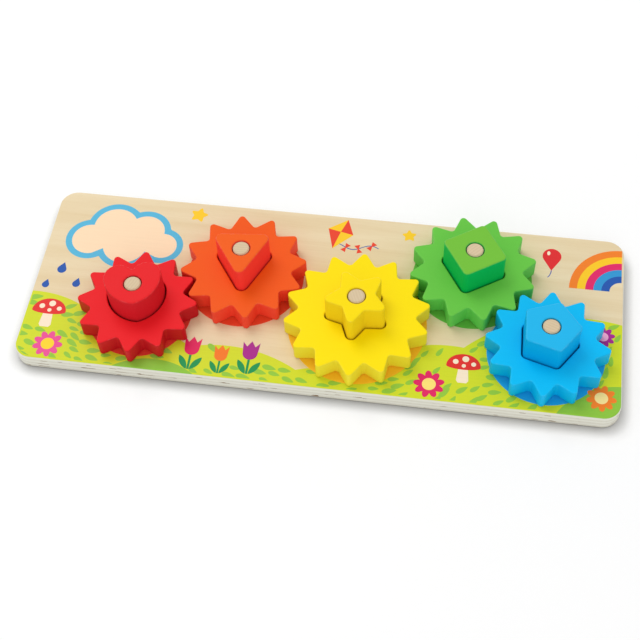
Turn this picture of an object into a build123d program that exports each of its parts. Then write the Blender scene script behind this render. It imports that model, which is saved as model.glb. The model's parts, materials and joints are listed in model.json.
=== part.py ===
from build123d import *
import os
from dataclasses import dataclass
from math import acos, atan2, cos, degrees, radians, sin

# A flat birch board with five wooden gears in a train. Each gear drops over a shaped
# block, and the block drops over a dowel peg glued into the board, so the block is both
# the hub of its gear and the knob that turns it.
# Millimetres and degrees. +Z is up, the board's long side lies along X, and the origin
# is the middle of the board's underside.

# Board
board_length = 400.0
board_width = 142.0
board_thickness = 12.0
board_corner_radius = 12.0
board_edge_round = 1.5

# Pegs
peg_diameter = 11.0
peg_depth = 8.5  # length held in the board
peg_edge_break = 0.8
glue_gap = 0.05  # round a peg, in its blind hole
glue_well = 0.5  # under a peg, for the spare glue

# Gears: a star with straight flanks, whose points and notches are then rounded
gear_thickness = 13.8
gear_edge_break = 0.5
tooth_tip_round = 2.4
tooth_root_round = 2.4
small_teeth = 12
small_point_radius = 42.5
small_notch_radius = 30.5
medium_teeth = 12
medium_point_radius = 44.7
medium_notch_radius = 32.5
large_teeth = 14
large_point_radius = 50.4
large_notch_radius = 38.5

# Clearances
running_gap = 0.2  # between the board and what turns on it
bore_play = 0.6  # round a peg, in its block
block_play = 0.9  # round a block, in its gear
outer_root_gap = 1.4  # tip to root where a small gear meshes with a medium one
inner_root_gap = 4.2  # tip to root where a medium gear meshes with the large one

# Blocks: flats and lobes are measured from the peg
block_stand = 19.8  # above the top of the gear
block_edge_break = 1.0
bore_edge_break = 0.5
heart_lobe_radius = 9.7
heart_lobe_offset = 9.3
heart_lobe_height = 6.5
heart_point = 16.5
heart_point_round = 1.5
heart_cleft_round = 2.0
triangle_flat = 12.0
triangle_corner_round = 4.0
star_points = 5
star_point_radius = 24.2
star_notch_radius = 12.5
star_point_round = 3.0
star_notch_round = 2.0
square_flat = 15.8
square_corner_round = 3.2
pentagon_flat = 16.1
pentagon_corner_round = 2.8

# Where the train stands. The yellow gear is the first one placed, and the next ones are
# found from it by the bearing from peg to peg. Angles run counter-clockwise from +X.
yellow_peg_x = 25.1
yellow_peg_y = -18.7
yellow_tooth_angle = 90.8
yellow_to_orange_angle = 160.3
orange_to_red_angle = 209.2
yellow_to_green_angle = 32.2
green_to_blue_angle = -46.0

# How far each gear is turned on from having a tooth in the middle of the gap it meets
red_slack_angle = 1.2
orange_slack_angle = -5.1
green_slack_angle = 5.1
blue_slack_angle = -1.2

# The way the pointed end of each block faces at rest
heart_facing_angle = -76.0
triangle_facing_angle = -84.5
star_facing_angle = -95.0
square_facing_angle = -102.0
pentagon_facing_angle = -70.0

board_top = board_thickness
deck = board_top + running_gap  # the level on which gears and blocks turn
block_height = gear_thickness + block_stand
peg_top = deck + block_height


@dataclass
class Wheel:
    """The tooth form of a gear, as the star it is cut from."""

    teeth: int
    point_radius: float
    notch_radius: float

    def flank_angle(self):
        """Slope of a flank against the middle line of its tooth, in radians."""
        half_pitch = radians(180 / self.teeth)
        run = self.notch_radius * sin(half_pitch)
        rise = self.point_radius - self.notch_radius * cos(half_pitch)
        return atan2(run, rise)

    def tip_radius(self):
        return self.point_radius - tooth_tip_round * (1 / sin(self.flank_angle()) - 1)

    def root_radius(self):
        notch_angle = self.flank_angle() + radians(180 / self.teeth)
        return self.notch_radius + tooth_root_round * (1 / sin(notch_angle) - 1)


small_wheel = Wheel(small_teeth, small_point_radius, small_notch_radius)
medium_wheel = Wheel(medium_teeth, medium_point_radius, medium_notch_radius)
large_wheel = Wheel(large_teeth, large_point_radius, large_notch_radius)


@dataclass
class Station:
    """One place on the board: where its peg stands and how its teeth are turned."""

    wheel: Wheel
    x: float
    y: float
    tooth_angle: float

    def next(self, wheel, bearing, root_gap, slack_angle):
        """The station whose wheel meshes with this one, in the direction of bearing."""
        reach = self.wheel.tip_radius() + wheel.root_radius()
        other_reach = wheel.tip_radius() + self.wheel.root_radius()
        spacing = max(reach, other_reach) + root_gap
        pitches_off = (self.tooth_angle - bearing) * self.wheel.teeth / 360
        next_pitches_off = 0.5 - pitches_off
        return Station(
            wheel,
            self.x + spacing * cos(radians(bearing)),
            self.y + spacing * sin(radians(bearing)),
            bearing + 180 + next_pitches_off * 360 / wheel.teeth + slack_angle,
        )

    def at(self, height):
        return Pos(self.x, self.y, height)


yellow = Station(large_wheel, yellow_peg_x, yellow_peg_y, yellow_tooth_angle)
orange = yellow.next(
    medium_wheel, yellow_to_orange_angle, inner_root_gap, orange_slack_angle
)
red = orange.next(small_wheel, orange_to_red_angle, outer_root_gap, red_slack_angle)
green = yellow.next(
    medium_wheel, yellow_to_green_angle, inner_root_gap, green_slack_angle
)
blue = green.next(small_wheel, green_to_blue_angle, outer_root_gap, blue_slack_angle)


def rounded_star(points, point_radius, notch_radius, point_round, notch_round):
    """A star with its first point along +X, and all of its corners rounded."""
    radii = (point_radius, notch_radius)
    corners = []
    for k in range(2 * points):
        angle = radians(180 * k / points)
        corners.append((radii[k % 2] * cos(angle), radii[k % 2] * sin(angle)))
    star = Polygon(*corners, align=None)
    tips = star.vertices().sort_by_distance((0, 0))[-points:]
    star = fillet(tips, point_round)
    notches = star.vertices().sort_by_distance((0, 0))[:points]
    return fillet(notches, notch_round)


def rounded_polygon(sides, flat, corner_round):
    """A regular polygon with one corner along +X, given by the distance to its flats."""
    polygon = RegularPolygon(flat, sides, major_radius=False, align=None)
    return fillet(polygon.vertices(), corner_round)


def heart():
    """Two lobes whose outer sides run on in one arc each to the point, along +X."""
    cleft_angle = degrees(acos(-heart_lobe_offset / heart_lobe_radius))
    centre = (heart_lobe_offset, heart_lobe_height)
    lobe = CenterArc(centre, heart_lobe_radius, cleft_angle, -cleft_angle)
    side = TangentArc(lobe @ 1, (0, -heart_point), tangent=lobe % 1)
    half = Curve() + [lobe, side]
    outline = make_face(half + mirror(half, Plane.YZ))
    cleft = outline.vertices().filter_by(lambda v: abs(v.X) < 0.01).sort_by(Axis.Y)[-1]
    outline = fillet(cleft, heart_cleft_round)
    point = outline.vertices().sort_by(Axis.Y)[0]
    return Rot(0, 0, 90) * fillet(point, heart_point_round)


def baseboard():
    """The plywood board, with a blind hole under each station."""
    outline = RectangleRounded(board_length, board_width, board_corner_radius)
    board = extrude(outline, board_thickness)
    rims = board.edges().group_by(Axis.Z)
    board = fillet(rims[0] + rims[-1], board_edge_round)
    hole_depth = peg_depth + glue_well
    hole = extrude(Circle(peg_diameter / 2 + glue_gap), hole_depth)
    for station in (red, orange, yellow, green, blue):
        board -= station.at(board_top - hole_depth) * hole
    return board


def peg(station):
    """A dowel from its seat in the board up to the top of its block."""
    foot = board_top - peg_depth
    dowel = extrude(Circle(peg_diameter / 2), peg_top - foot)
    dowel = chamfer(dowel.edges().filter_by(GeomType.CIRCLE), peg_edge_break)
    return station.at(foot) * dowel


def gear(station, shape):
    """A toothed wheel with a hole that its shaped block fills."""
    wheel = station.wheel
    rim = rounded_star(
        wheel.teeth,
        wheel.point_radius,
        wheel.notch_radius,
        tooth_tip_round,
        tooth_root_round,
    )
    hole = offset(shape, block_play, kind=Kind.ARC)
    disc = extrude(Rot(0, 0, station.tooth_angle) * rim - hole, gear_thickness)
    disc = chamfer(disc.edges().group_by(Axis.Z)[-1], gear_edge_break)
    return station.at(deck) * disc


def block(station, shape):
    """A shaped block with its ends eased, bored to drop over the peg."""
    body = extrude(shape, block_height)
    ends = body.edges().group_by(Axis.Z)
    body = chamfer(ends[0] + ends[-1], block_edge_break)
    bore_radius = peg_diameter / 2 + bore_play
    body -= extrude(Circle(bore_radius), block_height)
    mouths = body.edges().filter_by(
        lambda edge: edge.geom_type == GeomType.CIRCLE and abs(edge.radius - bore_radius) < 0.01
    )
    body = chamfer(mouths, bore_edge_break)
    return station.at(deck) * body


def faced(angle, outline):
    """An outline turned so that the end along its +X faces the given way."""
    return Rot(0, 0, angle) * outline


star = rounded_star(
    star_points,
    star_point_radius,
    star_notch_radius,
    star_point_round,
    star_notch_round,
)
triangle = rounded_polygon(3, triangle_flat, triangle_corner_round)
square = rounded_polygon(4, square_flat, square_corner_round)
pentagon = rounded_polygon(5, pentagon_flat, pentagon_corner_round)

# Each station with the colour of its gear, and the name and outline of its block
train = [
    (red, "red", "heart", faced(heart_facing_angle, heart())),
    (orange, "orange", "triangle", faced(triangle_facing_angle, triangle)),
    (yellow, "yellow", "star", faced(star_facing_angle, star)),
    (green, "green", "square", faced(square_facing_angle, square)),
    (blue, "blue", "pentagon", faced(pentagon_facing_angle, pentagon)),
]

nodes = {"baseboard": baseboard()}
for station, colour, shape_name, shape in train:
    nodes[f"{shape_name}_peg"] = peg(station)
    nodes[f"{colour}_gear"] = gear(station, shape)
    nodes[f"{shape_name}_block"] = block(station, shape)

os.makedirs("parts", exist_ok=True)
for node, solid in nodes.items():
    solid.label = node
    export_step(solid, f"parts/{node}.step")
    print(node, solid.bounding_box().min, solid.bounding_box().max)
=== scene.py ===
# %% [markdown]
# # A wooden gear board
# A birch board carries five painted gears. A shaped block sits in the middle of each
# gear, and a dowel glued into the board comes up through the block. The CAD model gives
# every one of these pieces its size and its place. This notebook dresses them: rounded
# edges, satin paint, birch veneer, a printed meadow, a camera and a studio.

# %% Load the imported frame
import json
from math import acos, atan2, cos, hypot, pi, radians, sin, sqrt, tan, tau
from typing import NamedTuple

import bpy
from mathutils import Matrix, Vector


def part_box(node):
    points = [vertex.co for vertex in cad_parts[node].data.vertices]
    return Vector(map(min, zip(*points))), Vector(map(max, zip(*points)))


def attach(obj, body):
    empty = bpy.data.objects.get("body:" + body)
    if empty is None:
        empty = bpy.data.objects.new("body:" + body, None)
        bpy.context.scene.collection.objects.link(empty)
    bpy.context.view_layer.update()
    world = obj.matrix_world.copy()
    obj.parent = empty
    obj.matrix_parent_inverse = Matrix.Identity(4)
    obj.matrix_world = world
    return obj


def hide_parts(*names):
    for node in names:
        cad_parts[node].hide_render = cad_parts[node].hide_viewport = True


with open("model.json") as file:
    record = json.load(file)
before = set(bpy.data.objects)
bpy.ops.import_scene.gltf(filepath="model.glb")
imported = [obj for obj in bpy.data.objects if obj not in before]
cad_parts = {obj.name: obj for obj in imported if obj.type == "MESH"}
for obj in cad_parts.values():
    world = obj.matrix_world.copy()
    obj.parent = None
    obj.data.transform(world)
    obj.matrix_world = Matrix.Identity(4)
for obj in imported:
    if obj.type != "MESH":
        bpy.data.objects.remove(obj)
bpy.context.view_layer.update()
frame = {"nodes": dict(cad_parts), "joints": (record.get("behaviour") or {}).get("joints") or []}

MM = 0.001

# %% [markdown]
# ## One way to write every node tree
# Shader and geometry trees are made of the same things: nodes, sockets and links. Placing
# them one by one hides what they work out. Here a socket is wrapped in a `Signal` that
# knows plus, minus, times and divide, so a line of Python reads as the sum that it is and
# leaves the right Math nodes behind. A vector gets Vector Math, a number gets Math.

# %% Signals


def is_vector(value):
    if isinstance(value, Signal):
        return value.socket.type == "VECTOR"
    return isinstance(value, tuple)


class Signal:
    """An output socket that can be used in sums."""

    def __init__(self, bench, socket):
        self.bench = bench
        self.socket = socket

    def out(self, name):
        """Another output of the same node."""
        return Signal(self.bench, self.socket.node.outputs[name])

    def __add__(self, other):
        return self.bench.sum("ADD", self, other)

    def __radd__(self, other):
        return self.bench.sum("ADD", other, self)

    def __sub__(self, other):
        return self.bench.sum("SUBTRACT", self, other)

    def __rsub__(self, other):
        return self.bench.sum("SUBTRACT", other, self)

    def __mul__(self, other):
        return self.bench.sum("MULTIPLY", self, other)

    def __rmul__(self, other):
        return self.bench.sum("MULTIPLY", other, self)

    def __truediv__(self, other):
        return self.bench.sum("DIVIDE", self, other)

    def __rtruediv__(self, other):
        return self.bench.sum("DIVIDE", other, self)

    def __neg__(self):
        return self.bench.sum("MULTIPLY", self, -1.0)


print("sockets can be summed")

# %% [markdown]
# A bench is one tree while it is being built. One method places any node: it takes the
# node's type, its settings and what goes into its sockets. The methods after it are short
# names for the nodes that this toy needs again and again.

# %% Benches


class Bench:
    """A node tree that is being built."""

    def __init__(self, tree):
        self.tree = tree

    def add(self, kind, settings=None, values=None):
        """A node of this kind: its settings first, then what goes into its sockets."""
        node = self.tree.nodes.new(kind)
        for name, setting in (settings or {}).items():
            setattr(node, name, setting)
        for name, value in (values or {}).items():
            self.feed(node.inputs[name], value)
        shown = [socket for socket in node.outputs if socket.enabled]
        return Signal(self, shown[0]) if shown else node

    def feed(self, socket, value):
        if isinstance(value, Signal):
            self.tree.links.new(value.socket, socket)
        else:
            socket.default_value = value

    def sum(self, operation, first, second):
        kind = "ShaderNodeMath"
        if is_vector(first) or is_vector(second):
            kind = "ShaderNodeVectorMath"
            first, second = (
                (v, v, v) if isinstance(v, (int, float)) else v for v in (first, second)
            )
        return self.add(kind, {"operation": operation}, {0: first, 1: second})

    def maths(self, operation, *values, clamp=False):
        """A Math node with an operation that Python has no sign for."""
        settings = {"operation": operation, "use_clamp": clamp}
        return self.add("ShaderNodeMath", settings, dict(enumerate(values)))

    def vector(self, operation, *values):
        """A Vector Math node with an operation that Python has no sign for."""
        return self.add("ShaderNodeVectorMath", {"operation": operation}, dict(enumerate(values)))

    def xyz(self, **parts):
        """A vector from its X, Y and Z. Those that aren't given are 0."""
        return self.add("ShaderNodeCombineXYZ", {}, parts)

    def split(self, vector):
        """The X of a vector. Its out() gives the other two."""
        return self.add("ShaderNodeSeparateXYZ", {}, {"Vector": vector})

    def mapped(self, vector, **how):
        """A place that is turned and drawn out before a pattern is laid on it."""
        return self.add("ShaderNodeMapping", {}, {"Vector": vector, **how})

    def noise(self, vector, scale, detail, warp=0.0):
        """Clouds of numbers round one half."""
        values = {"Vector": vector, "Scale": scale, "Detail": detail, "Distortion": warp}
        return self.add("ShaderNodeTexNoise", {}, values)

    def step(self, value, edge, width):
        """0 below the edge, 1 above it and a ramp between. A width below 0 swaps them."""
        return self.maths("ADD", (value - edge) / width, 0.5, clamp=True)

    def mix(self, low, high, share, blend="MIX"):
        """One colour over another."""
        settings = {"data_type": "RGBA", "blend_type": blend}
        # The node keeps sockets for every type: 6, 7 and output 2 are its colours
        mixed = self.add("ShaderNodeMix", settings, {0: share, 6: low, 7: high})
        return Signal(self, mixed.socket.node.outputs[2])


print("bench ready")

# %% [markdown]
# ## Colours as a printer writes them
# Blender mixes light, and a printer writes ink from 0 to 255 on a curve that suits the
# eye. The two meet in one short formula, so every colour below can be read off a swatch.

# %% Inks, greys and empty materials


def ink(red, green, blue):
    """A swatch colour turned into the light values that Blender mixes."""
    return tuple(
        (c / 255 / 12.92 if c <= 10 else ((c / 255 + 0.055) / 1.055) ** 2.4)
        for c in (red, green, blue)
    ) + (1.0,)


def grey(bench, value):
    """A number as a grey, to darken or lighten a colour with."""
    return bench.add("ShaderNodeCombineColor", {}, {0: value, 1: value, 2: value})


def new_material(name):
    """An empty material with a Principled shader, and the bench to build it on."""
    material = bpy.data.materials.new(name)
    material.use_nodes = True
    material.node_tree.nodes.clear()
    bench = Bench(material.node_tree)
    shader = bench.add("ShaderNodeBsdfPrincipled")
    bench.add("ShaderNodeOutputMaterial", {}, {"Surface": shader})
    return material, bench, shader.socket.node.inputs


def object_mm(bench):
    """The place of a point of the surface, in millimetres of the object's own frame."""
    return bench.add("ShaderNodeTexCoord").out("Object") * (1 / MM)


def normal_z(bench):
    """1 where a surface faces up, 0 on a wall and -1 below."""
    return bench.split(bench.add("ShaderNodeNewGeometry").out("Normal")).out("Z")


def emboss(bench, shader, height, strength, depth):
    """Makes a pattern stand up from the surface, by at most depth millimetres."""
    relief = {"Height": height, "Strength": strength, "Distance": depth * MM}
    bench.feed(shader["Normal"], bench.add("ShaderNodeBump", {}, relief))


print("mid grey is", [round(c, 3) for c in ink(128, 128, 128)])

# %% [markdown]
# ## Where the train stands
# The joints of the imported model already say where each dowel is, so no position is typed
# twice. What the joints can't say is how each wheel was cut: the number of teeth, the
# star that the teeth come from, and the way the wheel and its block are turned.

# %% The five stations
BOARD_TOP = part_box("baseboard")[1].z / MM
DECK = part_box("red_gear")[0].z / MM
GEAR_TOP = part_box("red_gear")[1].z / MM
BLOCK_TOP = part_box("heart_block")[1].z / MM

peg_spots = {
    joint["child"].removesuffix("_gear"): (joint["pos_m"][0] / MM, joint["pos_m"][1] / MM)
    for joint in frame["joints"]
    if joint["name"].endswith("_spin")
}


class Station(NamedTuple):
    """A wheel, the angle of one of its teeth, its block, and the way the block points."""

    wheel: dict
    tooth_angle: float
    block: str
    facing: float


SMALL = {"Teeth": 12, "Point Radius": 42.5, "Notch Radius": 30.5}
MEDIUM = {"Teeth": 12, "Point Radius": 44.7, "Notch Radius": 32.5}
LARGE = {"Teeth": 14, "Point Radius": 50.4, "Notch Radius": 38.5}

train = {
    "red": Station(SMALL, 183.317, "heart", -76.0),
    "orange": Station(MEDIUM, 71.283, "triangle", -84.5),
    "yellow": Station(LARGE, 90.8, "star", -95.0),
    "green": Station(MEDIUM, 163.933, "square", -102.0),
    "blue": Station(SMALL, -62.133, "pentagon", -70.0),
}
for colour, (x, y) in peg_spots.items():
    print(f"{colour} wheel stands at {x:.1f}, {y:.1f} mm")

# %% [markdown]
# ## Outlines drawn with compasses
# Every block is a flat shape with its corners rounded off. A rounded corner is an arc
# that touches both sides, and a few arcs joined end to end give the whole shape, because
# the straight flats are simply the gaps between one arc and the next. The heart is six
# arcs: the cleft, two lobes, two long sides and the point.

# %% Arcs and rounded corners


def arc(centre, radius, start, end, steps=8):
    """Points along an arc, angles in radians. It runs backwards if end is below start."""
    angles = [start + (end - start) * k / steps for k in range(steps + 1)]
    return [(centre[0] + radius * cos(a), centre[1] + radius * sin(a)) for a in angles]


def rounded(corners, radii):
    """A closed outline of straight sides with an arc at each corner, inner or outer."""
    points = []
    for k, corner in enumerate(corners):
        here = Vector(corner)
        into = (here - Vector(corners[k - 1])).normalized()
        onward = (Vector(corners[(k + 1) % len(corners)]) - here).normalized()
        turn = atan2(into.x * onward.y - into.y * onward.x, into.dot(onward))
        start = here - into * radii[k] * tan(abs(turn) / 2)
        inward = Vector((-into.y, into.x)) * (1 if turn > 0 else -1)
        first = atan2(-inward.y, -inward.x)
        points += arc(start + inward * radii[k], radii[k], first, first + turn)
    return points


print("a quarter of a circle has", len(arc((0, 0), 1.0, 0, pi / 2)), "points")

# %% The five block shapes


def turned(points, degrees):
    """The same outline, turned so that what lay along +X faces this way."""
    c, s = cos(radians(degrees)), sin(radians(degrees))
    return [(x * c - y * s, x * s + y * c) for x, y in points]


def polar(radii, start=0.0):
    """Corners evenly round a centre, at these distances."""
    step = tau / len(radii)
    return [(r * cos(start + k * step), r * sin(start + k * step)) for k, r in enumerate(radii)]


def regular(sides, flat, corner_round):
    """A regular polygon, by the distance from its middle to its flats."""
    return rounded(polar([flat / cos(pi / sides)] * sides), [corner_round] * sides)


def heart():
    """Lobes 9.7 round, a cleft and a point, drawn upright and then turned to point along +X."""
    lobe, lobe_x, lobe_y, tip, tip_round, cleft_round = 9.7, 9.3, 6.5, 16.5, 1.5, 2.0
    edge = lobe_x + lobe
    side_x = (edge**2 - (lobe_y + tip) ** 2) / (2 * edge)
    side = edge - side_x
    tip_y = lobe_y - sqrt((side - tip_round) ** 2 - side_x**2)
    tip_angle = acos(-side_x / (side - tip_round))
    cleft_y = lobe_y + sqrt((lobe + cleft_round) ** 2 - lobe_x**2)
    cleft_angle = acos(lobe_x / (lobe + cleft_round))
    half = arc((0, cleft_y), cleft_round, -pi / 2, -cleft_angle, 5)
    half += arc((lobe_x, lobe_y), lobe, pi - cleft_angle, 0, 20)[1:]
    half += arc((side_x, lobe_y), side, 0, -tip_angle, 14)[1:]
    half += arc((0, tip_y), tip_round, -tip_angle, -pi / 2, 4)[1:]
    clockwise = half + [(-x, y) for x, y in half[-2:0:-1]]
    return turned(clockwise[::-1], 90)


# Of the star's points and of its notches: how far out they are, and how round
STAR_REACH, STAR_ROUND = [24.2, 12.5], [3.0, 2.0]
shapes = {
    "heart": heart(),
    "triangle": regular(3, flat=12.0, corner_round=4.0),
    "star": rounded(polar(STAR_REACH * 5), STAR_ROUND * 5),
    "square": regular(4, flat=15.8, corner_round=3.2),
    "pentagon": regular(5, flat=16.1, corner_round=2.8),
}
for name, outline in shapes.items():
    print(name, len(outline), "points, reaching", round(max(hypot(*p) for p in outline), 1), "mm")

# %% [markdown]
# ## Holes that fit
# The hole in a gear is the outline of its block, let out by the play between the two. The
# outline is moved along its own normals, which is what a router does when it follows a
# template with a guide bush.

# %% Letting an outline out


def let_out(points, play):
    """An outline grown by play on every side."""
    grown = []
    count = len(points)
    for k, (x, y) in enumerate(points):
        ahead, behind = points[(k + 1) % count], points[k - 1]
        along = Vector((ahead[0] - behind[0], ahead[1] - behind[1])).normalized()
        grown.append((x + along.y * play, y - along.x * play))
    return grown


def moved(points, centre):
    return [(x + centre[0], y + centre[1]) for x, y in points]


def circle(centre, radius, steps=48):
    return arc(centre, radius, 0, tau * (1 - 1 / steps), steps - 1)


def in_scene(name, data):
    """A new object at the origin, for a mesh, a curve, a lamp or a camera."""
    shown = bpy.data.objects.new(name, data)
    bpy.context.scene.collection.objects.link(shown)
    return shown


def outline_object(name, outlines):
    """A curve object with one closed spline for each outline, in metres."""
    curve = bpy.data.curves.new(name, "CURVE")
    curve.dimensions = "3D"
    for outline in outlines:
        spline = curve.splines.new("POLY")
        spline.points.add(len(outline) - 1)
        for point, (x, y) in zip(spline.points, outline):
            point.co = (x * MM, y * MM, 0, 1)
        spline.use_cyclic_u = True
    return in_scene(name, curve)


BLOCK_PLAY = 0.9
print("a hole is", BLOCK_PLAY, "mm larger than its block all round")

# %% [markdown]
# ## A round-over bit in Geometry Nodes
# In a workshop, a router with a round-over bit eases every edge. The tree below does
# the same. It draws the profile that the bit leaves, from the top face round the
# corner, down the wall and round to the bottom face, and sweeps it along each outline.
# Two flat caps close the solid. The same tree serves gears and blocks. A short flat lead
# on the profile keeps the shading of the caps level.

# %% Starting and closing a tree


def new_tree(name, **inputs):
    """A geometry tree, and the bench to build it on. Its named inputs come kind by kind."""
    tree = bpy.data.node_groups.new(name, "GeometryNodeTree")
    for kind, labels in inputs.items():
        for label in labels:
            tree.interface.new_socket(label, in_out="INPUT", socket_type=f"NodeSocket{kind}")
    tree.interface.new_socket("Solid", in_out="OUTPUT", socket_type="NodeSocketGeometry")
    bench = Bench(tree)
    entry = tree.nodes.new("NodeGroupInput")
    return tree, bench, {s.name: Signal(bench, s) for s in entry.outputs if s.name}


def set_position(geometry, **where):
    """Its points go to their Position, or are moved by their Offset."""
    bench = geometry.bench
    return bench.add("GeometryNodeSetPosition", {}, {"Geometry": geometry, **where})


def join(*parts):
    bench = parts[0].bench
    joined = bench.tree.nodes.new("GeometryNodeJoinGeometry")
    for part in parts:
        bench.feed(joined.inputs[0], part)
    return Signal(bench, joined.outputs[0])


def close_tree(geometry, finish):
    """Ends a tree in one real mesh that has its material."""
    bench = geometry.bench
    solid = bench.add("GeometryNodeRealizeInstances", {}, {"Geometry": geometry})
    dressed = {"Geometry": solid, "Material": finish}
    solid = bench.add("GeometryNodeSetMaterial", {}, dressed)
    bench.add("NodeGroupOutput", {}, {"Solid": solid})
    print(bench.tree.name, "has", len(bench.tree.nodes), "nodes")


print("trees can be started, joined and closed")

# %% The profile that the bit leaves
FLAT_LEAD = 0.12
BIT_STEPS = 5
WELD_DISTANCE = 0.002

plate_tree, bench, dial = new_tree(
    "routed_plate",
    Geometry=["Outline"],
    Float=["Bottom", "Height", "Edge Round"],
    Material=["Finish"],
)
inset = dial["Edge Round"] + FLAT_LEAD * MM
top = dial["Bottom"] + dial["Height"]


def profile_point(across, height):
    """A point of the profile: +X is out of the wood, and the sweep hangs +Y downwards."""
    return bench.xyz(X=across, Y=-height)


profile_points = [
    profile_point(-inset, top),
    profile_point(0.0, top),
    profile_point(0.0, top - inset),
    profile_point(0.0, dial["Bottom"] + inset),
    profile_point(0.0, dial["Bottom"]),
    profile_point(-inset, dial["Bottom"]),
]
chooser = plate_tree.nodes.new("GeometryNodeIndexSwitch")
chooser.data_type = "VECTOR"
while len(chooser.index_switch_items) < len(profile_points):
    chooser.index_switch_items.new()
point_index = bench.add("GeometryNodeInputIndex")
bench.feed(chooser.inputs["Index"], point_index)
for k, point in enumerate(profile_points):
    bench.feed(chooser.inputs[k + 1], point)
rail = bench.add("GeometryNodeMeshLine", {}, {"Count": len(profile_points)})
rail = bench.add("GeometryNodeMeshToCurve", {}, {"Mesh": rail})
rail = set_position(rail, Position=Signal(bench, chooser.outputs[0]))
# The two corners are points 1 and 4, each 1.5 from the middle of the row
is_corner = bench.maths("COMPARE", bench.maths("ABSOLUTE", point_index - 2.5), 1.5, 0.1)
rounding = {"Curve": rail, "Count": BIT_STEPS, "Radius": is_corner * dial["Edge Round"]}
bit = bench.add("GeometryNodeFilletCurve", {"mode": "POLY"}, rounding)
print("the profile has", len(profile_points), "points, two of them rounded")

# %% Walls and caps
path = bench.add("GeometryNodeSetCurveNormal", {"mode": "Z_UP"}, {"Curve": dial["Outline"]})
walls = bench.add("GeometryNodeCurveToMesh", {}, {"Curve": path, "Profile Curve": bit})
shrunk = set_position(path, Offset=bench.add("GeometryNodeInputNormal") * -inset)
cap = bench.add("GeometryNodeFillCurve", {"mode": "TRIANGLES"}, {"Curve": shrunk})
lid = set_position(cap, Offset=bench.xyz(Z=top))
base = set_position(cap, Offset=bench.xyz(Z=dial["Bottom"]))
base = bench.add("GeometryNodeFlipFaces", {}, {"Mesh": base})
welding = {"Geometry": join(lid, base, walls), "Distance": WELD_DISTANCE * MM}
solid = bench.add("GeometryNodeMergeByDistance", {}, welding)
solid = bench.add("GeometryNodeSetShadeSmooth", {}, {"Geometry": solid})
close_tree(solid, dial["Finish"])

# %% [markdown]
# ## Teeth from a rule
# A toothed wheel is a star with its points and notches rounded, so it takes three sizes
# and a count to draw one. The tree makes the star, rounds it, turns it to its tooth angle
# and sets it on its dowel. The hole comes in as a curve that runs the other way round,
# and the plate tree above turns both into one solid.

# %% The tree that cuts a toothed wheel
TOOTH_STEPS = 8
tooth_sizes = ["Point Radius", "Notch Radius", "Tooth Round", "Tooth Angle"]
wheel_tree, bench, dial = new_tree(
    "toothed_wheel",
    Geometry=["Hole"],
    Int=["Teeth"],
    Float=tooth_sizes + ["Bottom", "Height", "Edge Round"],
    Vector=["Centre"],
    Material=["Finish"],
)
star = {
    "Points": dial["Teeth"],
    "Outer Radius": dial["Point Radius"],
    "Inner Radius": dial["Notch Radius"],
}
star = bench.add("GeometryNodeCurveStar", {}, star)
rounding = {"Curve": star, "Count": TOOTH_STEPS, "Radius": dial["Tooth Round"]}
teeth = bench.add("GeometryNodeFilletCurve", {"mode": "POLY"}, rounding)
turn = bench.xyz(Z=dial["Tooth Angle"])
seat = {"Geometry": teeth, "Translation": dial["Centre"], "Rotation": turn}
teeth = bench.add("GeometryNodeTransform", {}, seat)
plate = wheel_tree.nodes.new("GeometryNodeGroup")
plate.node_tree = plate_tree
bench.feed(plate.inputs["Outline"], join(teeth, dial["Hole"]))
for label in ("Bottom", "Height", "Edge Round", "Finish"):
    bench.feed(plate.inputs[label], dial[label])
bench.add("NodeGroupOutput", {}, {"Solid": Signal(bench, plate.outputs[0])})
print("toothed_wheel has", len(wheel_tree.nodes), "nodes")

# %% [markdown]
# ## From a tree to a plain mesh
# A modifier's inputs are set by the identifiers of the tree's sockets. The evaluated
# result is copied to a mesh of its own, and the curve that it came from is deleted, so
# that what goes to the frame is an ordinary closed mesh in its final place.

# %% Running a tree


def run_tree(tree, source, sizes, name):
    """The mesh object that the tree makes from the source, which is used up."""
    modifier = source.modifiers.new(tree.name, "NODES")
    modifier.node_group = tree
    for item in tree.interface.items_tree:
        if item.item_type == "SOCKET" and item.in_out == "INPUT" and item.name in sizes:
            modifier[item.identifier] = sizes[item.name]
    source.update_tag()
    bpy.context.view_layer.update()
    evaluated = source.evaluated_get(bpy.context.evaluated_depsgraph_get())
    mesh = bpy.data.meshes.new_from_object(evaluated)
    mesh.name = name
    bpy.data.objects.remove(source)
    return in_scene(name, mesh)


def report(piece):
    corners = [Vector(c) / MM for c in piece.bound_box]
    size = [max(c[k] for c in corners) - min(c[k] for c in corners) for k in range(3)]
    print(piece.name, "faces", len(piece.data.polygons), "size", [round(s, 1) for s in size])


def belongs(piece, body, replaced=None):
    """Ties a finished piece to its body, hides the CAD node it stands for, and prints its size.
    """
    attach(piece, body)
    if replaced:
        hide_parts(replaced)
    report(piece)


print("ready to cut")

# %% [markdown]
# ## Satin paint on wood
# The gears and blocks are solid wood under one thick coat of satin paint. The coat is even but
# never perfect: the grain below still shows as faint long ridges, and in patches along the
# rounded edges it is rubbed paler by small hands. Light and shade are painted in as well. The
# walls take a colour of their own, set to how the light falls on them: it is painted shade where
# a wall is deeper than its top and painted light where it is brighter. A faint painted highlight
# runs all along the rounded edges. The world normal tells wall from top: its Z is 1 on top, 0 on
# a wall and between the two on a rounded edge, and it stays so however far the gear turns.

# %% The paint


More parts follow.
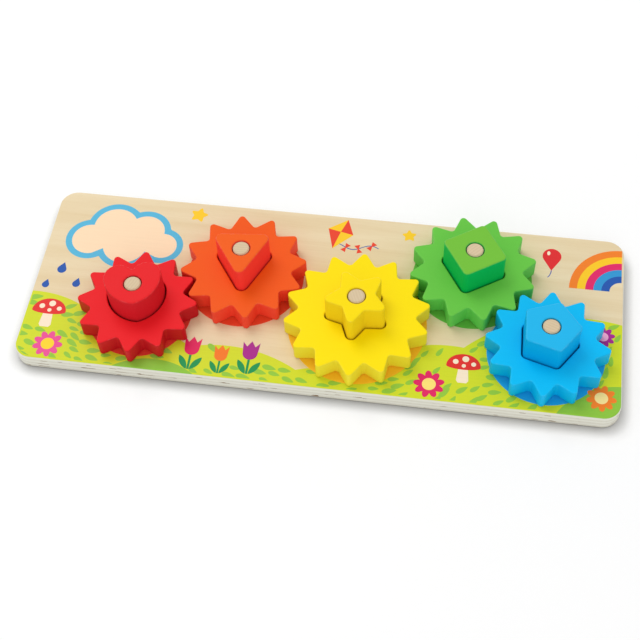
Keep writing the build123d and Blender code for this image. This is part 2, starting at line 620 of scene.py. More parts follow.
def satin_paint(name, top_colour, wall_light_and_shade_colour, grain_angle):
    material, bench, shader = new_material(name)
    place = object_mm(bench)
    turn = (0, 0, radians(grain_angle))
    along = bench.mapped(place, Rotation=turn, Scale=(0.03, 0.9, 0.5))
    ridges = bench.noise(along, scale=1.0, detail=3.0)
    clouds = bench.noise(place, scale=0.06, detail=2.0)
    skin = bench.noise(place, scale=1.1, detail=2.0)
    rub = bench.noise(place, scale=0.35, detail=4.0)
    facing = bench.maths("ABSOLUTE", normal_z(bench))
    level = bench.step(facing, edge=0.55, width=0.7)
    off_wall = bench.step(facing, edge=0.3, width=0.4)
    off_top = 1 - bench.step(facing, edge=0.93, width=0.1)
    rim = off_wall * off_top
    worn = rim * bench.step(rub, edge=0.56, width=0.16)
    # Painted light and shade: the walls take their own colour, set to how the light falls on them
    colour = bench.mix(wall_light_and_shade_colour, top_colour, level)
    shade = 0.965 + ridges * 0.04 + clouds * 0.03
    colour = bench.mix(colour, grey(bench, shade), 1.0, "MULTIPLY")
    # Paler edges: the rim term is a faint painted highlight along every rounded edge, the worn
    # term is rubbed wear in patches
    pale = tuple(0.75 * c + 0.25 for c in top_colour[:3]) + (1.0,)
    colour = bench.mix(colour, pale, rim * 0.02 + worn * 0.1)
    bench.feed(shader["Base Color"], colour)
    bench.feed(shader["Roughness"], 0.4 + clouds * 0.12 - worn * 0.1)
    shader["Specular IOR Level"].default_value = 0.11
    emboss(bench, shader, ridges * 0.6 + skin * 0.4, strength=0.12, depth=0.1)
    return material


# Each pair is the colour of the tops and the colour of the walls, which is painted light and
# shade set to how the light falls on the walls
paints = {
    "red": (ink(236, 28, 36), ink(196, 22, 32)),
    "orange": (ink(241, 91, 22), ink(246, 72, 48)),
    "yellow": (ink(255, 228, 0), ink(240, 223, 52)),
    "green": (ink(106, 198, 72), ink(98, 206, 86)),
    "blue": (ink(0, 190, 246), ink(0, 184, 238)),
}
# The blocks likewise: the second colour of each pair is the walls' painted light and shade
block_paints = {
    "heart": (ink(232, 30, 36), ink(206, 30, 40)),
    "triangle": (ink(241, 95, 24), ink(248, 62, 54)),
    "star": (ink(251, 222, 0), ink(240, 210, 26)),
    "square": (ink(116, 191, 60), ink(0, 186, 86)),
    "pentagon": (ink(32, 182, 236), ink(0, 170, 226)),
}
print(len(paints) + len(block_paints), "paints")

# %% [markdown]
# ## Cutting and painting the wheels and blocks
# Each wheel takes its sizes from its station. A block is its outline with a round bore in
# it, which runs the other way round so that the sweep knows it for a hole.

# %% Gears
GEAR_EDGE = 0.85
TOOTH_ROUND = 2.4
for k, (colour, station) in enumerate(train.items()):
    spot = peg_spots[colour]
    hole = let_out(turned(shapes[station.block], station.facing), BLOCK_PLAY)
    source = outline_object(f"{colour}_hole", [moved(hole, spot)[::-1]])
    grain_angle = 20 + 37 * k
    sizes = {
        "Teeth": station.wheel["Teeth"],
        "Point Radius": station.wheel["Point Radius"] * MM,
        "Notch Radius": station.wheel["Notch Radius"] * MM,
        "Tooth Round": TOOTH_ROUND * MM,
        "Tooth Angle": radians(station.tooth_angle),
        "Centre": (spot[0] * MM, spot[1] * MM, 0.0),
        "Bottom": DECK * MM,
        "Height": (GEAR_TOP - DECK) * MM,
        "Edge Round": GEAR_EDGE * MM,
        "Finish": satin_paint(f"{colour}_gear_paint", *paints[colour], grain_angle),
    }
    gear = run_tree(wheel_tree, source, sizes, f"{colour}_toothed_wheel")
    belongs(gear, f"{colour}_gear", f"{colour}_gear")

# %% Blocks
BLOCK_EDGE = 1.1
BORE_RADIUS = 6.1
for k, (colour, station) in enumerate(train.items()):
    spot, shape = peg_spots[colour], station.block
    outline = moved(turned(shapes[shape], station.facing), spot)
    source = outline_object(f"{shape}_outline", [outline, circle(spot, BORE_RADIUS)[::-1]])
    grain_angle = 70 + 29 * k
    sizes = {
        "Bottom": DECK * MM,
        "Height": (BLOCK_TOP - DECK) * MM,
        "Edge Round": BLOCK_EDGE * MM,
        "Finish": satin_paint(f"{shape}_block_paint", *block_paints[shape], grain_angle),
    }
    block = run_tree(plate_tree, source, sizes, f"{shape}_knob")
    belongs(block, f"{shape}_block", f"{shape}_block")

# %% [markdown]
# ## Birch veneer and the ply edge
# The board is birch plywood. Its face veneer is peeled from the log, so the grain lies in
# long quiet bands along the board, with finer silk on top and a few short pores. Round
# the edge the layers of the ply show as faint bands, every second one seen on its end
# grain and so a shade darker, with small brown voids where a layer had a knot hole. A
# clear coat covers it all. The meadow is printed on the face and stops just past the line
# where the edge starts to round over, so the print is part of this material: rolling
# hills are circles, and a point is in the meadow when it lies inside one of them.

# %% Birch veneer
VENEER = ink(232, 212, 172)
VENEER_DARK = ink(219, 194, 149)
VENEER_LIGHT = ink(240, 225, 192)


def stretched_noise(bench, place, scale, detail=2.0, warp=0.0):
    """Noise drawn out along the grain: scale is how often it changes per millimetre."""
    return bench.noise(bench.mapped(place, Scale=scale), 1.0, detail, warp)


def birch(bench, place):
    """The colour of birch veneer, and how far its fibres stand up."""
    bands = stretched_noise(bench, place, (0.006, 0.09, 0.02), 3.0, 0.6)
    silk = stretched_noise(bench, place, (0.03, 1.3, 0.2), 2.0)
    pores = stretched_noise(bench, place, (0.12, 3.2, 0.5), 1.0)
    tone = bench.step(bands + silk * 0.25, edge=0.62, width=0.5)
    colour = bench.mix(VENEER_DARK, VENEER_LIGHT, tone)
    colour = bench.mix(VENEER, colour, 0.52)
    colour = bench.mix(colour, VENEER_DARK, bench.step(pores, edge=0.68, width=0.06) * 0.45)
    return colour, silk * 0.7 + pores * 0.3


def lacquer(bench, shader, fibres, place):
    """A clear satin coat that follows the fibres below it."""
    patches = stretched_noise(bench, place, (0.02, 0.05, 0.05), 3.0)
    bench.feed(shader["Roughness"], 0.4 + patches * 0.14)
    shader["Specular IOR Level"].default_value = 0.14
    shader["Coat Weight"].default_value = 0.03
    shader["Coat Roughness"].default_value = 0.25
    emboss(bench, shader, fibres, strength=0.1, depth=0.08)


print("veneer swatch", [round(c, 3) for c in VENEER[:3]])

# %% The printed meadow
MEADOW = ink(210, 220, 34)
MOUND = ink(141, 197, 60)
INK_COVER = 0.985


def distance_to(bench, place, spot):
    """How far the surface is from this spot of the face, in millimetres."""
    flat = place * (1, 1, 0)
    return bench.vector("DISTANCE", flat, (spot[0], spot[1], 0)).out("Value")


def inside_any(bench, place, circles_mm):
    """1 inside any of these circles, 0 outside, with an edge a tenth of a millimetre soft."""
    deepest = None
    for x, y, radius in circles_mm:
        depth = radius - distance_to(bench, place, (x, y))
        deepest = depth if deepest is None else bench.maths("MAXIMUM", deepest, depth)
    return bench.step(deepest, edge=0.0, width=0.12)


# The x, y and radius of each hill and mound, in millimetres
hills = [
    (-196, -92, 74),
    (-128, -118, 82),
    (-58, -140, 94),
    (20, -150, 96),
    (88, -112, 84),
    (176, -108, 112),
]
mounds = [(202, -96, 50), (-104, -110, 48)]


def printed_over(bench, base, ink_colour, fibres):
    """Ink over veneer: the fibres still show through it as a faint change of tone."""
    tinted = bench.mix(ink_colour, grey(bench, 0.95 + fibres * 0.1), 1.0, "MULTIPLY")
    return bench.mix(base, tinted, INK_COVER)


print(len(hills), "hills and", len(mounds), "mounds")

# %% [markdown]
# The edge of the ply works on height: seven layers in twelve millimetres, with a thin
# glue line in the middle of each pair. The face of the board is told from its walls by
# how far a point lies inside the outline, which for a rectangle with round corners is a
# short sum.

# %% The face of the board
CORNER = 12.0
PRINT_MARGIN = 0.5
LAYERS = 7
PLY = ink(228, 227, 213)
PLY_END_GRAIN = ink(214, 211, 195)
PLY_PALE = ink(238, 236, 227)
GLUE = ink(184, 177, 156)
VOID = ink(122, 88, 52)
board_x, board_y = (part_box("baseboard")[1][axis] / MM for axis in (0, 1))

plywood, bench, shader = new_material("printed_plywood")
place = object_mm(bench)
face, fibres = birch(bench, place)
meadow = inside_any(bench, place, hills)
mound = inside_any(bench, place, mounds)
printed_face = printed_over(bench, face, bench.mix(MEADOW, MOUND, mound), fibres)
printed_face = bench.mix(face, printed_face, meadow)
print(LAYERS, "layers in", round(BOARD_TOP, 1), "mm")

# %% The edge of the ply
axes = bench.split(place)
height = axes.out("Z")
wander = stretched_noise(bench, place, (0.05, 0.05, 0.0), 3.0)
# One turn of the phase is two layers: long grain below one half, end grain above it
phase = bench.maths("FRACT", (height + wander * 0.5) / BOARD_TOP * (LAYERS / 2))
before_last = 1 - bench.step(phase, edge=0.97, width=0.06)
end_grain = bench.step(phase, edge=0.5, width=0.06) * before_last
glue = bench.step(bench.maths("ABSOLUTE", phase - 0.5), edge=0.055, width=-0.05)
streaks = stretched_noise(bench, place, (0.25, 0.25, 2.6), 3.0)
voids = stretched_noise(bench, place, (0.13, 0.13, 1.1), 0.0)
ply = bench.mix(PLY, PLY_END_GRAIN, end_grain * 0.75)
ply = bench.mix(ply, PLY_PALE, bench.step(streaks, edge=0.6, width=0.3) * 0.35)
ply = bench.mix(ply, GLUE, glue * 0.34)
ply = bench.mix(ply, VOID, bench.step(voids, edge=0.725, width=0.02) * end_grain)
print("a layer is", round(BOARD_TOP / LAYERS, 2), "mm thick")

# %% Face and edge together


def past(axis, half_size):
    """How far a point lies beyond the centres of the corners along one axis."""
    beyond = bench.maths("ABSOLUTE", axes.out(axis)) - (half_size - CORNER)
    return bench.maths("MAXIMUM", beyond, 0.0)


past_x, past_y = past("X", board_x), past("Y", board_y)
from_edge = CORNER - bench.maths("SQRT", past_x * past_x + past_y * past_y)
on_face = bench.step(from_edge, PRINT_MARGIN, width=0.15)
is_top = bench.step(height, BOARD_TOP / 2, width=0.1)
colour = bench.mix(ply, bench.mix(face, printed_face, is_top), on_face)
bench.feed(shader["Base Color"], colour)
lacquer(bench, shader, fibres, place)


def dress(node, material):
    """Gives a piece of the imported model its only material."""
    piece = frame["nodes"][node]
    piece.data.materials.clear()
    piece.data.materials.append(material)


dress("baseboard", plywood)
print("plywood shader has", len(plywood.node_tree.nodes), "nodes")

# %% [markdown]
# ## Dowels
# A dowel is cut across the grain, so its end shows rings cut short, fine pores and the
# marks of the saw, while its side shows long fibres. The rings of a tree are much wider
# than a dowel, so each end only shows a few gentle bands, each dowel from another place
# in the log.

# %% Bare wood of the dowels
RING_PALE, RING_DARK, PORE = ink(218, 197, 163), ink(203, 180, 145), ink(184, 156, 120)
SIDE_PALE, SIDE_DARK = ink(232, 211, 172), ink(210, 183, 140)


def dowel_wood(name, spot, log_angle):
    material, bench, shader = new_material(name)
    place = object_mm(bench) - (spot[0], spot[1], 0.0)
    in_log = bench.mapped(place, Rotation=(0, 0, radians(log_angle)))
    wobble = bench.noise(in_log, scale=0.25, detail=2.0)
    across = bench.split(in_log).out("X")
    rings = bench.maths("SINE", (across + wobble * 1.6) * 3.4) * 0.5 + 0.5
    cells = {"Vector": place, "Scale": 2.6}
    pores = bench.add("ShaderNodeTexVoronoi", {"feature": "F1"}, cells).out("Distance")
    saw = stretched_noise(bench, in_log, (0.5, 6.0, 0.5), 1.0)
    fibres = stretched_noise(bench, place, (2.2, 2.2, 0.05))
    end = bench.mix(RING_PALE, RING_DARK, rings * 0.5)
    end = bench.mix(end, PORE, bench.step(pores, edge=0.14, width=-0.08) * 0.35)
    side = bench.mix(SIDE_PALE, SIDE_DARK, fibres)
    is_end = bench.step(normal_z(bench), edge=0.4, width=0.3)
    bench.feed(shader["Base Color"], bench.mix(side, end, is_end))
    bench.feed(shader["Roughness"], 0.62 + saw * 0.12)
    shader["Specular IOR Level"].default_value = 0.2
    emboss(bench, shader, saw * 0.5 + pores * 0.5, strength=0.2, depth=0.08)
    return material


for k, (colour, station) in enumerate(train.items()):
    wood = dowel_wood(f"{station.block}_dowel_wood", peg_spots[colour], 25 + 67 * k)
    dress(f"{station.block}_peg", wood)
print("dowels finished")

# %% [markdown]
# ## Printed motifs
# Everything else on the face is one layer of ink each: plain discs that tell which wheel
# goes where, leaves in the grass, daisies, tulips and toadstools, and a sky with a cloud,
# rain, a rainbow, a balloon and a kite. A layer of ink is a flat plate about a hundredth
# of a millimetre thick, well under the gap in which the gears turn. Later layers lie a
# little higher, as they would after the next pass of the press.

# %% Ink
INK_STEP = 0.012
INK_SINK = 0.02
PRINT_INSET = 1.6


def printing_ink(name, red, green, blue):
    """One colour of ink on the veneer, under the same lacquer as the board."""
    material, bench, shader = new_material(name)
    place = object_mm(bench)
    face, fibres = birch(bench, place)
    bench.feed(shader["Base Color"], printed_over(bench, face, ink(red, green, blue), fibres))
    lacquer(bench, shader, fibres, place)
    return material


print("a layer of ink is", INK_STEP, "mm thick")

# %% Plates of ink


def mesh_in_mm(name, points, faces):
    """An object from points in millimetres and the faces between them."""
    mesh = bpy.data.meshes.new(name)
    mesh.from_pydata([tuple(c * MM for c in point) for point in points], [], faces)
    return in_scene(name, mesh)


def print_shapes(name, outlines, material, layer):
    """Flat plates of ink for these outlines, in the given layer of the print."""
    points, faces = [], []
    foot, top = BOARD_TOP - INK_SINK, BOARD_TOP + INK_STEP * layer
    for outline in outlines:
        start, count = len(points), len(outline)
        points += [(x, y, z) for z in (foot, top) for x, y in outline]
        faces.append([start + k for k in range(count)][::-1])
        faces.append([start + count + k for k in range(count)])
        for k in range(count):
            after = (k + 1) % count
            faces.append((start + k, start + after, start + count + after, start + count + k))
    piece = mesh_in_mm(name, points, faces)
    piece.data.materials.append(material)
    belongs(piece, "board")


print("plates of ink start", INK_SINK, "mm below the face of the board")

# %% The disc under each wheel
disc_radii = {"red": 35.5, "orange": 40.5, "yellow": 46.5, "green": 40.5, "blue": 38.5}
disc_inks = {
    "red": (230, 62, 48),
    "orange": (232, 72, 38),
    "yellow": (250, 190, 34),
    "green": (100, 184, 66),
    "blue": (2, 166, 226),
}
for colour, radius in disc_radii.items():
    disc = circle(peg_spots[colour], radius, steps=96)
    disc_ink = printing_ink(f"{colour}_disc_ink", *disc_inks[colour])
    print_shapes(f"{colour}_disc_print", [disc], disc_ink, layer=3)

# %% [markdown]
# ## Leaves in the grass
# The meadow is full of small leaf strokes that hardly touch. Scattering points with a
# least distance between them (a Poisson disk) gives just that. A leaf is longer than it
# is wide, so the ground is squeezed along the leaves before the points are scattered and
# drawn out again after. A slow noise turns the strokes, so that neighbours lie nearly the
# same way, as combed grass does. The strokes keep off the discs, the mounds and the other
# motifs: the ground that they are scattered on is a patch of cells with those left out.

# %% The ground for the leaves
# Each motif is its x, its y and its size
daisies = [(-178, -59, 1.15), (77, -59, 1.15), (187, -56, 1.1), (187, -9, 0.9)]
tulips = [(-81, -51, 1.0), (-61, -54, 0.86), (-42, -50, 1.0)]
toadstools = [(-184, -33, 1.3), (98, -43, 1.25)]
kept_clear = [(x, y, 9 * size) for x, y, size in daisies]
kept_clear += [(x, y - 4 * size, 10.5 * size) for x, y, size in tulips]
kept_clear += [(x, y - 1.5 * size, 9.5 * size) for x, y, size in toadstools]
kept_clear += mounds + [(*peg_spots[colour], radius) for colour, radius in disc_radii.items()]
FROM_HILL_RIM, FROM_MOTIF = 3, 1


def is_ground(x, y):
    on_hill = any(hypot(x - cx, y - cy) < radius - FROM_HILL_RIM for cx, cy, radius in hills)
    clear = all(hypot(x - cx, y - cy) > radius + FROM_MOTIF for cx, cy, radius in kept_clear)
    return on_hill and clear


# One cell for each square millimetre, over the part of the face that the hills reach
ACROSS_HILLS, UP_HILLS = range(-198, 198), range(-70, 12)
corners, cells = [], []
for x in ACROSS_HILLS:
    for y in UP_HILLS:
        if is_ground(x + 0.5, y + 0.5):
            cells.append([len(corners) + k for k in range(4)])
            square = ((x, y), (x + 1, y), (x + 1, y + 1), (x, y + 1))
            corners += [(cx, cy, BOARD_TOP) for cx, cy in square]
ground = mesh_in_mm("leaf_ground", corners, cells)
print(len(cells), "square millimetres of open meadow")

# %% The tree that scatters the strokes
POINTS_PER_M2 = 120000.0
LEAF_TAPER = 0.62
leaf_tree, bench, dial = new_tree(
    "scattered_strokes",
    Geometry=["Ground"],
    Float=["Spacing", "Squeeze", "Leaf Length", "Leaf Width", "Thickness", "Corner Round"],
    Vector=["Corner Centre"],
    Int=["Seed"],
    Material=["Finish"],
)


def drawn_out(geometry, factor):
    """The geometry with its X stretched, as a rubber sheet would be."""
    where = bench.add("GeometryNodeInputPosition") * bench.xyz(X=factor, Y=1.0, Z=1.0)
    return set_position(geometry, Position=where)


def flat_disc(sides):
    """A thin disc 1 across, to be drawn out into a leaf or a petal."""
    values = {"Vertices": sides, "Radius": 0.5, "Depth": dial["Thickness"]}
    return bench.add("GeometryNodeMeshCylinder", {"fill_type": "NGON"}, values)


scatter = {
    "Mesh": drawn_out(dial["Ground"], dial["Squeeze"]),
    "Distance Min": dial["Spacing"],
    "Density Max": POINTS_PER_M2,
    "Seed": dial["Seed"],
}
method = {"distribute_method": "POISSON"}
points = bench.add("GeometryNodeDistributePointsOnFaces", method, scatter)
points = drawn_out(points, 1 / dial["Squeeze"])
corner = bench.split(bench.add("GeometryNodeInputPosition"))
from_foot = corner.out("X") + 0.5
taper = 1 - from_foot * from_foot * LEAF_TAPER
leaf_shape = bench.xyz(
    X=corner.out("X") * dial["Leaf Length"],
    Y=corner.out("Y") * taper * dial["Leaf Width"],
    Z=corner.out("Z"),
)
stroke = set_position(flat_disc(16), Position=leaf_shape)
print("so far", len(leaf_tree.nodes), "nodes: points on the meadow, and a leaf")

# %% [markdown]
# The second half of the tree turns and sizes the strokes. Those at the rim of the board
# are cut by the edge of the print. A leaf has no hollows, so each corner of it that lies
# too far out is simply drawn back: the print is every place that is no further than the
# corner's radius from the rectangle between the centres of its four corners. Where two
# strokes do meet, each has its own height in the layer, so no two tops share a plane.

# %% Turning the strokes


def between(low, high, seed):
    """A number for each stroke, anywhere between these two."""
    # The node keeps sockets for every type: 2 and 3 are its plain numbers
    values = {2: low, 3: high, "Seed": seed}
    return bench.add("FunctionNodeRandomValue", {"data_type": "FLOAT"}, values)


wind = bench.noise(bench.add("GeometryNodeInputPosition"), scale=16.0, detail=0.0)
sway = between(-0.22, 0.22, dial["Seed"])
size = between(0.78, 1.12, dial["Seed"] + 1)
lift = between(0.0, 0.35, dial["Seed"] + 2) * dial["Thickness"]
angle = bench.xyz(Z=(wind - 0.5) * 4.4 + sway)
points = set_position(points, Offset=bench.xyz(Z=lift))
strokes = {"Points": points, "Instance": stroke, "Rotation": angle, "Scale": size}
strokes = bench.add("GeometryNodeInstanceOnPoints", {}, strokes)
strokes = bench.add("GeometryNodeRealizeInstances", {}, {"Geometry": strokes})
print("now", len(leaf_tree.nodes), "nodes: each leaf is turned and sized")

# %% Trimming the strokes
where = bench.add("GeometryNodeInputPosition")
inner = bench.vector("MINIMUM", where, dial["Corner Centre"])
inner = bench.vector("MAXIMUM", inner, dial["Corner Centre"] * (-1, -1, 0))
away = where - inner
reach = bench.vector("LENGTH", away).out("Value")
share = dial["Corner Round"] / bench.maths("MAXIMUM", reach, 1e-6)
away = {0: away, "Scale": bench.maths("MINIMUM", share, 1.0)}
away = bench.add("ShaderNodeVectorMath", {"operation": "SCALE"}, away)
close_tree(set_position(strokes, Position=inner + away), dial["Finish"])

# %% The leaves of the meadow
leaf_sizes = {
    "Spacing": 4.7 * MM,
    "Squeeze": 0.53,
    "Leaf Length": 9.0 * MM,
    "Leaf Width": 4.3 * MM,
    "Thickness": 2 * INK_STEP * MM,
    "Corner Centre": ((board_x - CORNER) * MM, (board_y - CORNER) * MM, 1.0),
    "Corner Round": (CORNER - PRINT_INSET) * MM,
    "Seed": 11,
    "Finish": printing_ink("leaf_ink", 146, 200, 60),
}
leaves = run_tree(leaf_tree, ground, leaf_sizes, "meadow_leaf_print")
belongs(leaves, "board")

# %% [markdown]
# ## Daisies
# A daisy is one narrow petal repeated round a ring, so it is a tree with a petal count.
# The heart of the flower is a disc one layer higher, which hides where the petals end.
# Petals overlap a little, so each one lies a hair above or below its neighbours.

# %% The tree that sets petals round a ring
petal_tree, bench, dial = new_tree(
    "ring_of_petals",
    Geometry=["Ground"],
    Int=["Petals"],
    Float=["Ring", "Petal Length", "Petal Width", "Thickness"],
    Material=["Finish"],
)
ring = {"Vertices": dial["Petals"], "Radius": dial["Ring"]}
ring = bench.add("GeometryNodeMeshCircle", {}, ring)
shape = bench.xyz(X=dial["Petal Length"], Y=dial["Petal Width"], Z=1.0)
petal = bench.add("GeometryNodeTransform", {}, {"Geometry": flat_disc(20), "Scale": shape})
index = bench.add("GeometryNodeInputIndex")
around = bench.xyz(Z=index * tau / dial["Petals"])
third = bench.maths("MODULO", index, 3.0)
ring = set_position(ring, Offset=bench.xyz(Z=third * dial["Thickness"] * 0.05))
petals = {"Points": ring, "Instance": petal, "Rotation": around}
petals = bench.add("GeometryNodeInstanceOnPoints", {}, petals)
close_tree(petals, dial["Finish"])

# %% Four daisies
HEART_LAYER = 5
# Each pair is the ink of the petals and the ink of the heart
daisy_inks = [
    ((236, 78, 150), (252, 214, 40)),
    ((226, 24, 98), (254, 226, 120)),
    ((246, 128, 34), (254, 230, 150)),
    ((172, 30, 142), (246, 170, 206)),
]
for k, ((x, y, size), (petal_rgb, heart_rgb)) in enumerate(zip(daisies, daisy_inks)):
    seed_ring = outline_object(f"daisy_{k}", [circle((x, y), 1.0, 8)])
    petal_sizes = {
        "Petals": 9,
        "Ring": 5.4 * size * MM,
        "Petal Length": 7.0 * size * MM,
        "Petal Width": 4.0 * size * MM,
        "Thickness": 2 * (HEART_LAYER - 1) * INK_STEP * MM,
        "Finish": printing_ink(f"daisy_{k}_petal_ink", *petal_rgb),
    }
    petals = run_tree(petal_tree, seed_ring, petal_sizes, f"daisy_{k}_petal_print")
    turn = Matrix.Rotation(radians(17 * k), 4, "Z")
    petals.data.transform(Matrix.Translation((x * MM, y * MM, BOARD_TOP * MM)) @ turn)
    belongs(petals, "board")
    heart_ink = printing_ink(f"daisy_{k}_heart_ink", *heart_rgb)
    heart_disc = circle((x, y), 3.9 * size)
    print_shapes(f"daisy_{k}_heart_print", [heart_disc], heart_ink, HEART_LAYER)

# %% [markdown]
# ## Tulips and toadstools
# These stand upright on the hills, so each is drawn once round its own middle and then
# scaled and put on its spot. The tulip leaves are the deepest green in the meadow. The
# toadstools bring the red of the wheels down into the grass.

# %% Tulips


def sized(points, size):
    return [(x * size, y * size) for x, y in points]


def blade(foot, length, width, lean):
    """A pointed leaf that starts at its foot and leans this many degrees from upright."""
    right = [(width * sin(pi * k / 12) ** 0.8, length * k / 12) for k in range(12)]
    left = [(-x, y) for x, y in right[1:]]
    return moved(turned(right + [(0, length)] + left[::-1], lean), foot)


cup = arc((0, 0), 5.0, pi, tau, 18)
cup += [(5.7, 8.4), (2.8, 5.0), (0, 9.4), (-2.8, 5.0), (-5.7, 8.4)]
stem = [(-0.8, -16), (0.8, -16), (0.8, -4.4), (-0.8, -4.4)]
tulip_leaves = [blade((-1.1, -16), 12, 2.1, 31), blade((1.1, -16), 12, 2.1, -35)]
tulip_green = printing_ink("tulip_leaf_ink", 0, 146, 78)
tulip_inks = {"crimson": (226, 20, 92), "orange": (244, 122, 30), "violet": (168, 28, 140)}
for (x, y, size), (name, rgb) in zip(tulips, tulip_inks.items()):
    greens = [moved(sized(part, size), (x, y)) for part in [stem] + tulip_leaves]
    print_shapes(f"{name}_tulip_leaf_print", greens, tulip_green, layer=3)
    cup_ink = printing_ink(f"{name}_tulip_ink", *rgb)
    flower = moved(sized(cup, size), (x, y))
    print_shapes(f"{name}_tulip_cup_print", [flower], cup_ink, layer=4)

# %% Toadstools


def oval(centre, across, up, start=0.0, end=tau, steps=28):
    """Part of an ellipse, or the whole of it."""
    unit = arc((0, 0), 1.0, start, end, steps)
    return [(centre[0] + across * x, centre[1] + up * y) for x, y in unit]


cap = oval((0, 0), 9.0, 7.6, 0, pi)[:-1] + oval((0, 0), 9.0, 2.0, pi, tau)[:-1]
stalk = [(-2.4, 0), (-3.2, -8.6), (-2.2, -10), (2.2, -10), (3.2, -8.6), (2.4, 0)]
dot_spots = {(-4.2, 2.6): 1.5, (0.9, 4.6): 1.8, (5.2, 1.8): 1.3, (0.2, 0.4): 1.1}
dots = [circle(spot, radius, steps=20) for spot, radius in dot_spots.items()]
cap_ink = printing_ink("toadstool_cap_ink", 228, 40, 38)
pale_ink = printing_ink("toadstool_pale_ink", 252, 232, 204)
toadstool_parts = {
    "stalk": ([stalk], pale_ink, 3),
    "cap": ([cap], cap_ink, 4),
    "dot": (dots, pale_ink, 5),
}
for k, (x, y, size) in enumerate(toadstools):
    for part, (outlines, part_ink, layer) in toadstool_parts.items():
        outlines = [moved(sized(outline, size), (x, y)) for outline in outlines]
        print_shapes(f"toadstool_{k}_{part}_print", outlines, part_ink, layer)

# %% [markdown]
# ## The sky
# A cloud is a few circles run together. Its outline is found by looking out from the
# middle in every direction and taking the farthest circle that is met. The same cloud,
# drawn in, gives its pale inside.

# %% Cloud and rain


def run_together(centre, bubbles, inset=0.0, steps=160):
    """The outer outline of circles that overlap round a centre."""
    points = []
    for k in range(steps):
        angle = tau * k / steps
        reach = 0.0
        for x, y, radius in bubbles:
            near = x * cos(angle) + y * sin(angle)
            room = (radius - inset) ** 2 - (x * x + y * y - near * near)
            if room > 0:
                reach = max(reach, near + sqrt(room))
        points.append((centre[0] + reach * cos(angle), centre[1] + reach * sin(angle)))
    return points


def raindrop(centre, size, lean=0.0):
    """Round below and drawn to a point above."""
    bowl = arc((0, 0), size, radians(150), radians(390), 24)
    return moved(turned(bowl + [(0.0, 1.9 * size)], lean), centre)


cloud_spot = (-147, 34)
CLOUD_RIM = 4.5
# The x, y and radius of each circle of the cloud, from its middle
bubbles = [(-24, -4, 17), (-8, 9, 20), (14, 7, 18), (28, -4, 15), (2, -6, 20)]
whole_cloud = run_together(cloud_spot, bubbles)
cloud_inside = run_together(cloud_spot, bubbles, inset=CLOUD_RIM)
cloud_ink = printing_ink("cloud_rim_ink", 84, 182, 218)
cream_ink = printing_ink("cloud_cream_ink", 252, 221, 184)
print_shapes("cloud_rim_print", [whole_cloud], cloud_ink, layer=1)
print_shapes("cloud_fill_print", [cloud_inside], cream_ink, layer=2)

rain_ink = printing_ink("rain_ink", 20, 84, 172)
drop_sizes = {(-184, 2): 3.2, (-171, -9): 2.7, (-192, -12): 2.5}
rain = [raindrop(spot, size, lean=-8) for spot, size in drop_sizes.items()]
print_shapes("rain_print", rain, rain_ink, layer=4)

# %% Rainbow


def band(centre, inner, outer, start, end):
    """Part of a ring."""
    far = arc(centre, outer, radians(start), radians(end), 40)
    return far + arc(centre, inner, radians(end), radians(start), 40)


RAINBOW_REACH, BAND_WIDTH = 35.0, 5.4
rainbow = [(244, 128, 36), (252, 202, 32), (226, 30, 104), (40, 150, 210), (20, 84, 172)]
rainbow_spot = (board_x - PRINT_INSET, 28)
for k, rgb in enumerate(rainbow):
    outer = RAINBOW_REACH - BAND_WIDTH * k
    bow = band(rainbow_spot, outer - BAND_WIDTH, outer, 90, 180)
    print_shapes(f"rainbow_{k}_print", [bow], printing_ink(f"rainbow_{k}_ink", *rgb), layer=2)

# %% Balloon
balloon_x, balloon_y = 151, 53
string = band((balloon_x - 9, balloon_y - 12.0), 8.7, 9.3, -42, 12)
balloon = raindrop((balloon_x, balloon_y), 6.4, lean=180)
balloon_ink = printing_ink("balloon_ink", 226, 36, 44)
glint = oval((balloon_x - 2.3, balloon_y + 2.4), 1.1, 1.8, steps=16)[:-1]
print_shapes("balloon_string_print", [string], rain_ink, layer=1)
print_shapes("balloon_print", [balloon], balloon_ink, layer=2)
print_shapes("balloon_glint_print", [glint], pale_ink, layer=3)

# %% Kite and stars
kite_red = printing_ink("kite_red_ink", 234, 66, 40)
kite_yellow = printing_ink("kite_yellow_ink", 252, 204, 34)
kite_spot = (4, 55)
nose, left_tip, tail, right_tip = (4, 13), (-9, 4), (-4, -13), (9, 0)
sail = moved([nose, left_tip, tail, right_tip], kite_spot)
print_shapes("kite_sail_print", [sail], kite_red, layer=2)
patches = [[(0, 2), nose, left_tip], [(0, 2), tail, right_tip]]
patches = [moved(patch, kite_spot) for patch in patches]
print_shapes("kite_patch_print", patches, kite_yellow, layer=3)
line = [(x, 44.5 + 2.2 * sin((x + 5) / 4.0)) for x in range(1, 33)]
line += [(x, y + 0.7) for x, y in line[::-1]]
print_shapes("kite_line_print", [line], rain_ink, layer=1)
bow_tie = [(-3.4, 2.1), (-3.4, -2.1), (0, -0.4), (3.4, -2.1), (3.4, 2.1), (0, 0.4)]
bows = [moved(turned(bow_tie, lean), line[k]) for k, lean in ((8, 60), (17, -70), (26, 55))]
print_shapes("kite_bow_print", bows, kite_red, layer=2)

small_star = sized(shapes["star"], 0.3)
star_spots = [((-98, 60), 80, 1.0), ((52, 59), 96, 0.8)]
stars = [moved(sized(turned(small_star, lean), size), spot) for spot, lean, size in star_spots]
print_shapes("little_star_print", stars, kite_yellow, layer=2)

# %% [markdown]
# ## The photograph's camera
# The board's edges and the tips of the teeth fix the camera: how far round, how high, how
# much it was tilted and how long its lens was. The camera looks down its own -Z, so the
# three columns of its matrix are its right, its up and the way back to it.

# %% Camera
AZIMUTH, ELEVATION, ROLL = radians(11.15), radians(56.321), radians(-3.49)
LOOKS_AT = Vector((0.049, -18.321, BOARD_TOP)) * MM
DISTANCE = 853.234 * MM
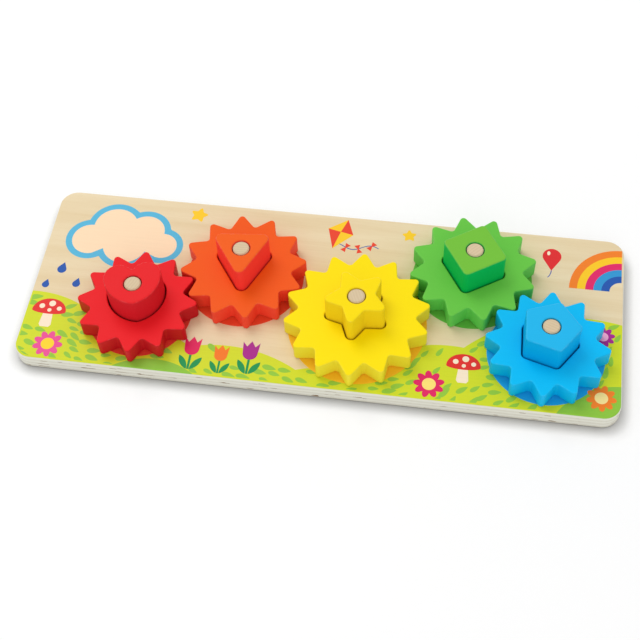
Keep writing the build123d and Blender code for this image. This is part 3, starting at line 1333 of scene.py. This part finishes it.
# The focal length and the width of the frame in pixels, and of the sensor in millimetres
FOCAL_LENGTH, FRAME_WIDTH, SENSOR_WIDTH = 1273.9, 640, 36.0
back = Vector((sin(AZIMUTH) * cos(ELEVATION), -cos(AZIMUTH) * cos(ELEVATION), sin(ELEVATION)))
level_right = Vector((cos(AZIMUTH), sin(AZIMUTH), 0))
level_up = back.cross(level_right)
right = level_right * cos(ROLL) + level_up * sin(ROLL)
up = level_up * cos(ROLL) - level_right * sin(ROLL)
camera_data = bpy.data.cameras.new("photo_camera")
camera_data.sensor_width = SENSOR_WIDTH
camera_data.lens = FOCAL_LENGTH / FRAME_WIDTH * SENSOR_WIDTH
camera = in_scene("photo_camera", camera_data)
turn = Matrix((right, up, back)).transposed().to_4x4()
camera.matrix_world = Matrix.Translation(LOOKS_AT + back * DISTANCE) @ turn
bpy.context.scene.camera = camera
print("camera at", [round(v, 3) for v in camera.location])

# %% [markdown]
# ## A white studio
# The photograph is a catalogue picture: a white ground, one broad light from behind and above on
# the left, and enough bounce to keep the near walls bright. The floor is a real surface so that
# it keeps the soft shadow. The lamps alone leave the narrow dark line at the foot of the board
# faint, so a shade is painted into the floor's colour: it darkens the last few millimetres before
# anything that stands on it.

# %% Floor
FLOOR_HALF = 4000
PAINTED_SHADE_REACH = 9
PAPER_WHITE, CONTACT_SHADE_GREY = ink(255, 255, 255), ink(92, 90, 88)
signs = [(-1, -1), (1, -1), (1, 1), (-1, 1)]
floor_corners = [(x * FLOOR_HALF, y * FLOOR_HALF, 0) for x, y in signs]
floor = mesh_in_mm("studio_floor", floor_corners, [(0, 1, 2, 3)])
floor_paper, bench, shader = new_material("studio_paper")
# Painted shade: the floor's colour is darkened within a few millimetres of anything that stands
# on it
painted_shade_openness = {"Distance": PAINTED_SHADE_REACH * MM}
painted_shade_openness = bench.add("ShaderNodeAmbientOcclusion", {"samples": 16}, painted_shade_openness).out("AO")
bench.feed(shader["Base Color"], bench.mix(CONTACT_SHADE_GREY, PAPER_WHITE, painted_shade_openness))
shader["Roughness"].default_value = 0.9
shader["Specular IOR Level"].default_value = 0.1
floor.data.materials.append(floor_paper)
print("floor", 2 * FLOOR_HALF / 1000, "m wide")

# %% Light


def softbox(name, spot, size, power):
    """A square lamp that faces the middle of the board, in metres and watts."""
    lamp = bpy.data.lights.new(name, "AREA")
    lamp.size = size
    lamp.energy = power
    stand = in_scene(name, lamp)
    stand.location = spot
    stand.rotation_euler = (-Vector(spot)).to_track_quat("-Z", "Y").to_euler()
    print(name, power, "W at", spot)


softbox("key_light", (-0.9, 0.9, 1.9), size=1.2, power=15.0)
softbox("front_fill", (0.2, -1.7, 0.9), size=1.6, power=4.0)

# The dome of light is a little weaker than the white that the camera and gloss see
DOME, SEEN_WHITE = 0.76, 1.0
sky = bpy.data.worlds.new("studio_sky")
sky.use_nodes = True
sky.node_tree.nodes.clear()
bench = Bench(sky.node_tree)
rays = bench.add("ShaderNodeLightPath")
mirrored = bench.maths("MAXIMUM", rays.out("Is Glossy Ray"), rays.out("Is Transmission Ray"))
seen = bench.maths("MAXIMUM", rays.out("Is Camera Ray"), mirrored)
strength = DOME + seen * (SEEN_WHITE - DOME)
dome = bench.add("ShaderNodeBackground", {}, {"Color": (1, 1, 1, 1), "Strength": strength})
bench.add("ShaderNodeOutputWorld", {}, {"Surface": dome})
bpy.context.scene.world = sky
bpy.context.scene.view_settings.view_transform = "Standard"
